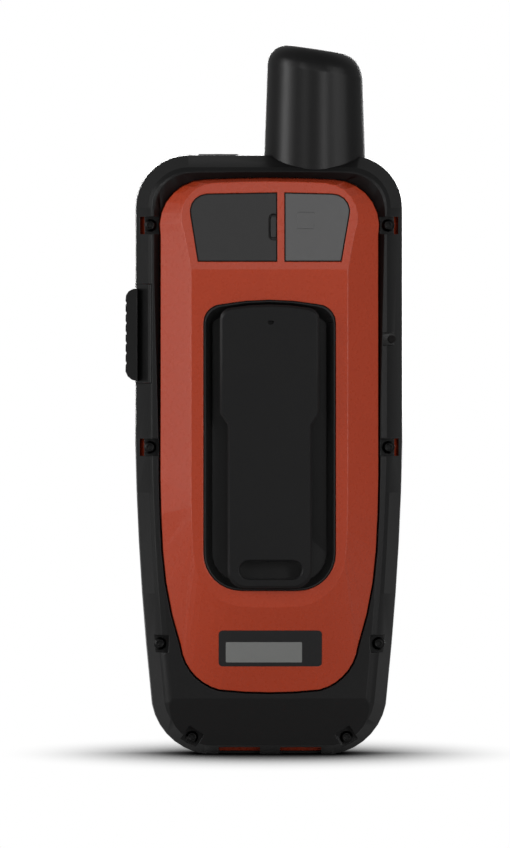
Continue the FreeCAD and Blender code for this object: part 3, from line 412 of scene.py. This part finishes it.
# %% The finishes
def make_materials():
    return {
        "orange_shell": moulded("orange_shell", ((0.335, 0.034, 0.009), (0.375, 0.041, 0.012)),
                                (0.42, 0.08, 0.04), (0.265, 0.285), bump=0.03, radius_mm=0.3, wear=0.2,
                                specular=0.35),
        "black_shell": moulded("black_shell", ((0.005, 0.005, 0.0052), (0.007, 0.007, 0.007)),
                               (0.03, 0.03, 0.03), (0.30, 0.37), bump=0.12, grain_mm=0.3, specular=0.2),
        "black_trim": moulded("black_trim", ((0.006, 0.006, 0.0065), (0.009, 0.009, 0.009)),
                              (0.012, 0.012, 0.012), (0.36, 0.44), bump=0.06, grain_mm=0.25, specular=0.14),
        # Painted light: the tray is about three times lighter than the black trim, to stand for lamp light
        # on the bay's walls.
        "tray_painted_light": moulded("tray_painted_light", ((0.017, 0.017, 0.017), (0.021, 0.021, 0.021)),
                             (0.03, 0.03, 0.03), (0.42, 0.5), bump=0.06, grain_mm=0.25, specular=0.2),
        "soft_rubber": moulded("soft_rubber", ((0.008, 0.008, 0.008), (0.011, 0.011, 0.011)),
                               (0.03, 0.03, 0.03), (0.55, 0.65), bump=0.05),
        "gloss_window": moulded("gloss_window", ((0.030, 0.030, 0.031), (0.034, 0.034, 0.034)),
                                (0.06, 0.06, 0.06), (0.16, 0.22), bump=0.01, radius_mm=0.12),
        "key_rubber": moulded("key_rubber", ((0.030, 0.030, 0.031), (0.038, 0.038, 0.038)),
                              (0.08, 0.08, 0.08), (0.5, 0.6), bump=0.05),
        "label_black": moulded("label_black", ((0.014, 0.014, 0.015), (0.018, 0.018, 0.018)),
                               (0.03, 0.03, 0.03), (0.30, 0.38), bump=0.02, radius_mm=0.08, specular=0.2),
        "label_silver": moulded("label_silver", ((0.15, 0.155, 0.15), (0.18, 0.185, 0.18)),
                                (0.25, 0.25, 0.25), (0.35, 0.45), bump=0.03, radius_mm=0.05),
        "screen": moulded("screen", ((0.030, 0.034, 0.033), (0.036, 0.040, 0.039)),
                          (0.05, 0.05, 0.05), (0.25, 0.3), bump=0.0),
        "sos_red": moulded("sos_red", ((0.42, 0.02, 0.012), (0.48, 0.028, 0.016)),
                           (0.6, 0.1, 0.08), (0.4, 0.5)),
        "steel": moulded("steel", ((0.012, 0.012, 0.012), (0.02, 0.02, 0.02)),
                         (0.05, 0.05, 0.05), (0.3, 0.45), metallic=1.0, grain_mm=0.15),
        "tin": moulded("tin", ((0.48, 0.49, 0.50), (0.56, 0.57, 0.58)),
                       (0.7, 0.7, 0.7), (0.3, 0.4), metallic=1.0),
        "circuit": moulded("circuit", ((0.012, 0.09, 0.04), (0.018, 0.12, 0.05)),
                           (0.5, 0.45, 0.3), (0.35, 0.45)),
        "copper": moulded("copper", ((0.6, 0.28, 0.15), (0.68, 0.34, 0.2)),
                          (0.8, 0.5, 0.35), (0.3, 0.4), metallic=1.0),
        "battery_wrap": moulded("battery_wrap", ((0.10, 0.12, 0.15), (0.13, 0.15, 0.18)),
                                (0.2, 0.22, 0.25), (0.3, 0.4)),
        "grey_plastic": moulded("grey_plastic", ((0.10, 0.10, 0.11), (0.14, 0.14, 0.15)),
                                (0.2, 0.2, 0.2), (0.5, 0.6)),
        "silicone": moulded("silicone", ((0.15, 0.15, 0.17), (0.18, 0.18, 0.2)),
                            (0.25, 0.25, 0.25), (0.5, 0.6)),
        "membrane": moulded("membrane", ((0.006, 0.005, 0.005), (0.009, 0.008, 0.008)),
                            (0.02, 0.02, 0.02), (0.8, 0.9), grain_mm=0.1, bump=0.3, specular=0.2),
        "cable_black": moulded("cable_black", ((0.02, 0.02, 0.02), (0.025, 0.025, 0.025)),
                               (0.05, 0.05, 0.05), (0.5, 0.6)),
        "polyimide": moulded("polyimide", ((0.38, 0.16, 0.03), (0.45, 0.2, 0.04)),
                             (0.5, 0.3, 0.1), (0.25, 0.35)),
    }


materials = make_materials()
print(len(materials), "moulded finishes")


# %% Lens glass
def make_lens_glass():
    """Clear hard-coated window over the display: plain glass with a faint smear in its gloss."""
    material = bpy.data.materials.new("lens_glass")
    material.use_nodes = True
    tree = material.node_tree
    skin = tree.nodes["Principled BSDF"]
    skin.inputs["Base Color"].default_value = (0.9, 0.92, 0.93, 1.0)
    skin.inputs["Transmission Weight"].default_value = 1.0
    skin.inputs["IOR"].default_value = 1.49
    cloud = place_group(tree, CLOUD, Cloud_Size_mm=22.0, Contrast=0.8)
    tree.links.new(ramp(tree, cloud.outputs["Mask"], 0.02, 0.07), skin.inputs["Roughness"])
    return material


materials["lens_glass"] = make_lens_glass()

# %% Dress the nodes
# The tray's base colour is painted lighter than the spine that stands in it: painted light on the bay's
# walls, which the spine shades from the lamps. The tray is also rougher, and what frames the display is
# black.
FINISH_OF = {"spine_tray": "tray_painted_light", "display_chassis": "cable_black", "display_module": "cable_black",
             "lens_gasket": "cable_black"}
slot_of = {part["node"]: part["material_slot"] for part in frame["record"]["subparts"]}
for name, node in frame["nodes"].items():
    node.data.materials.clear()
    node.data.materials.append(materials[FINISH_OF.get(name, slot_of[name])])
print("dressed", len(slot_of), "nodes in", len(set(slot_of.values())), "finishes")

# %% [markdown]
# ## Rounded copies of the moulded shells
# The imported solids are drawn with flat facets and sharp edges, which keeps them light. Every moulded
# part has a small radius on each edge, and that radius is what catches the light. Each shell below is
# copied, its loose triangles are merged, flat regions are joined into single faces, and a Bevel
# modifier rounds its edges. Its hardened normals keep the flat faces flat in the light. The copy then
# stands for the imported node.


# %% Merge and round off a copy of a node
MERGE_DISTANCE = 0.002 * MM
FLAT_ANGLE = math.radians(0.6)
SHARP_ANGLE = math.radians(32.0)
BEVEL_SEGMENTS = 2


def merged_copy(piece_name, node_name):
    """Copy a node, merge its loose triangles and join its flat regions into single faces."""
    piece = bpy.data.objects.new(piece_name, frame["nodes"][node_name].data.copy())
    bpy.context.scene.collection.objects.link(piece)
    bpy.ops.object.select_all(action="DESELECT")
    piece.select_set(True)
    bpy.context.view_layer.objects.active = piece
    bpy.ops.object.mode_set(mode="EDIT")
    bpy.ops.mesh.select_all(action="SELECT")
    bpy.ops.mesh.remove_doubles(threshold=MERGE_DISTANCE)
    bpy.ops.mesh.dissolve_limited(angle_limit=FLAT_ANGLE)
    bpy.ops.object.mode_set(mode="OBJECT")
    return piece


def rounded_copy(name, radius_mm, smooth_degrees):
    """Smooth a merged copy's shallow edges, bevel its sharp ones, and let it stand for the node."""
    piece = merged_copy(name + "_rounded", name)
    bpy.ops.object.shade_smooth_by_angle(angle=math.radians(smooth_degrees))
    bevel = piece.modifiers.new("edge_radius", "BEVEL")
    bevel.width = radius_mm * MM
    bevel.segments = BEVEL_SEGMENTS
    bevel.limit_method = "ANGLE"
    bevel.angle_limit = SHARP_ANGLE
    bevel.use_clamp_overlap = True
    bevel.harden_normals = True
    bpy.ops.object.modifier_apply(modifier=bevel.name)
    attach(piece, BODY_OF[name])
    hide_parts(name)
    return piece


BODY_OF = {node: body for body, nodes in frame["record"]["behaviour"]["bodies"].items() for node in nodes}
ROUNDED = {  # node: (edge radius in mm, angle in degrees up to which its faces blend)
    "rear_cover": (0.3, 7.0), "bumper_frame": (0.25, 15.0), "front_housing": (0.3, 24.0),
    "antenna_housing": (0.3, 24.0), "mounting_spine": (0.35, 24.0), "spine_tray": (0.2, 24.0),
    "sos_cover": (0.25, 24.0), "usb_weather_cap": (0.12, 24.0), "core_housing": (0.15, 24.0),
    "rocker_pad": (0.2, 24.0), "case_screws": (0.1, 35.0), "power_button": (0.1, 24.0)}
for name, (radius_mm, smooth_degrees) in ROUNDED.items():
    piece = rounded_copy(name, radius_mm, smooth_degrees)
    print(piece.name, len(piece.data.polygons), "faces")

# %% [markdown]
# ## Painted gap shadows round the two rear panels
# The port's weather cap and the sensor window sit side by side in one opening, and the shadow in the
# fine gap round each of them reads as a black line. That shadow is painted: each line is a flat black
# ring, the panel's outer face copied, inset by the width of the gap, and its middle taken out.


# %% Make the painted gap shadows
GAP_WIDTH = 0.2 * MM
RING_DEPTH = 0.10 * MM
RING_RISE = 0.02 * MM
LEVEL_TOLERANCE = 0.02 * MM
HOLE_MARGIN = 0.1 * MM


def keep_outer_face(piece):
    """Delete all but the flat outer face on the side of the camera, and return its normal."""
    bpy.ops.object.mode_set(mode="EDIT")
    bpy.ops.mesh.select_mode(type="FACE")
    bpy.ops.mesh.select_all(action="DESELECT")
    bpy.ops.object.mode_set(mode="OBJECT")
    faces = [face for face in piece.data.polygons if face.normal.y < -0.9]
    outward = max(faces, key=lambda face: face.area).normal.copy()
    level = max(outward.dot(face.center) for face in faces)
    for face in faces:
        depth = level - outward.dot(face.center)
        face.select = depth < LEVEL_TOLERANCE and outward.dot(face.normal) > 0.999
    bpy.ops.object.mode_set(mode="EDIT")
    bpy.ops.mesh.select_all(action="INVERT")
    bpy.ops.mesh.delete(type="FACE")
    bpy.ops.object.mode_set(mode="OBJECT")
    return outward


def fill_hole(piece, plug):
    """Close the hole in a flat face in which the node named plug sits."""
    near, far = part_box(plug)
    bpy.ops.object.mode_set(mode="EDIT")
    bpy.ops.mesh.select_mode(type="VERT")
    bpy.ops.object.mode_set(mode="OBJECT")
    for vertex in piece.data.vertices:
        vertex.select = (near[0] - HOLE_MARGIN < vertex.co.x < far[0] + HOLE_MARGIN
                         and near[2] - HOLE_MARGIN < vertex.co.z < far[2] + HOLE_MARGIN)
    bpy.ops.object.mode_set(mode="EDIT")
    bpy.ops.mesh.edge_face_add()
    bpy.ops.mesh.select_mode(type="FACE")
    bpy.ops.object.mode_set(mode="OBJECT")


def gap_shadow_ring(name, node_name, plug=None):
    """A thin flat black ring round the outer face of a panel, a painted shadow of the gap; plug is a node
    that fills a hole in the face.
    """
    ring = merged_copy(name, node_name)
    outward = keep_outer_face(ring)
    if plug:
        fill_hole(ring, plug)
    bpy.ops.object.mode_set(mode="EDIT")
    bpy.ops.mesh.select_all(action="SELECT")
    bpy.ops.mesh.normals_make_consistent(inside=False)
    bpy.ops.mesh.inset(thickness=GAP_WIDTH, use_boundary=True)
    bpy.ops.mesh.delete(type="FACE")
    bpy.ops.mesh.select_all(action="SELECT")
    bpy.ops.mesh.extrude_region_move(TRANSFORM_OT_translate={"value": outward * -RING_DEPTH})
    bpy.ops.mesh.select_all(action="SELECT")
    bpy.ops.mesh.normals_make_consistent(inside=False)
    bpy.ops.transform.translate(value=outward * RING_RISE)
    bpy.ops.object.mode_set(mode="OBJECT")
    # The ring takes the black membrane finish: painted shadow in the gap.
    ring.data.materials.clear()
    ring.data.materials.append(materials["membrane"])
    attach(ring, BODY_OF[node_name])
    return ring


for gap in (gap_shadow_ring("weather_cap_gap_shadow", "usb_weather_cap"),
            gap_shadow_ring("sensor_window_gap_shadow", "sensor_window", plug="light_sensor")):
    print(gap.name, len(gap.data.polygons), "faces")

# %% [markdown]
# ## Signs on the keys
# Each key carries a plain pictogram and no lettering. A sign is drawn as a few strokes in millimetres,
# seen from the front with up as up. The strokes become thin round lines that are sunk into the key's
# face, so only their crown shows.


# %% Draw a sign
LINE_RADIUS = 0.16 * MM
SINK = 0.6 * LINE_RADIUS


def circle(across, up, radius, start=0.0, end=360.0, steps=14):
    """Points in millimetres along a circle or an arc."""
    turns = [math.radians(start + (end - start) * step / steps) for step in range(steps + 1)]
    return [(across + radius * math.cos(turn), up + radius * math.sin(turn)) for turn in turns]


def draw_sign(name, node_name, strokes, on_top=False):
    """Strokes drawn as sunk round lines on the front or the top of a node."""
    near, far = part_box(node_name)
    middle = (near + far) / 2
    curve = bpy.data.curves.new(name, "CURVE")
    curve.dimensions = "3D"
    curve.bevel_depth = LINE_RADIUS
    curve.bevel_resolution = 1
    curve.use_fill_caps = True
    for stroke in strokes:
        spline = curve.splines.new("POLY")
        spline.points.add(len(stroke) - 1)
        for point, (across, up) in zip(spline.points, stroke):
            if on_top:
                point.co = (middle.x - across * MM, middle.y + up * MM, far.z - SINK, 1.0)
            else:
                point.co = (middle.x - across * MM, far.y - SINK, middle.z + up * MM, 1.0)
    sign = bpy.data.objects.new(name, curve)
    bpy.context.scene.collection.objects.link(sign)
    bpy.ops.object.select_all(action="DESELECT")
    sign.select_set(True)
    bpy.context.view_layer.objects.active = sign
    bpy.ops.object.convert(target="MESH")
    sign = bpy.context.object
    sign.data.materials.clear()
    sign.data.materials.append(sign_paint)
    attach(sign, BODY_OF[node_name])
    return sign


sign_paint = moulded("sign_paint", ((0.50, 0.51, 0.52), (0.58, 0.59, 0.60)),
                     (0.65, 0.65, 0.65), (0.45, 0.55), bump=0.02)
SIGNS = {
    "key_zoom_in": [[(-1.1, 0), (1.1, 0)], [(0, -1.1), (0, 1.1)]],
    "key_zoom_out": [[(-1.1, 0), (1.1, 0)]],
    "key_find": [circle(-0.3, 0.3, 0.8), [(0.27, -0.27), (1.1, -1.1)]],
    "key_quit": [[(1.1, -0.7), (1.1, 0.4), (-1.1, 0.4)], [(-0.5, 1.0), (-1.1, 0.4), (-0.5, -0.2)]],
    "key_menu": [[(-1.1, level), (1.1, level)] for level in (-0.7, 0.0, 0.7)],
    "key_page": [[(-1.1, -0.5), (-1.1, 1.0), (0.5, 1.0), (0.5, -0.5), (-1.1, -0.5)],
                 [(0.8, 0.5), (1.1, 0.5), (1.1, -1.0), (-0.5, -1.0), (-0.5, -0.8)]],
    "key_mark": [[(-0.6, -1.2), (-0.6, 1.1), (0.9, 0.5), (-0.6, -0.1)]],
    "key_enter": [[(-1.0, 0.0), (-0.3, -0.7), (1.1, 0.8)]],
}
for key, strokes in SIGNS.items():
    draw_sign("sign_" + key, key, strokes)
power_strokes = [circle(0, 0, 1.0, 120, 420), [(0, 0.2), (0, 1.2)]]
draw_sign("sign_power", "power_button", power_strokes, on_top=True)
print("drew", len(SIGNS) + 1, "signs")
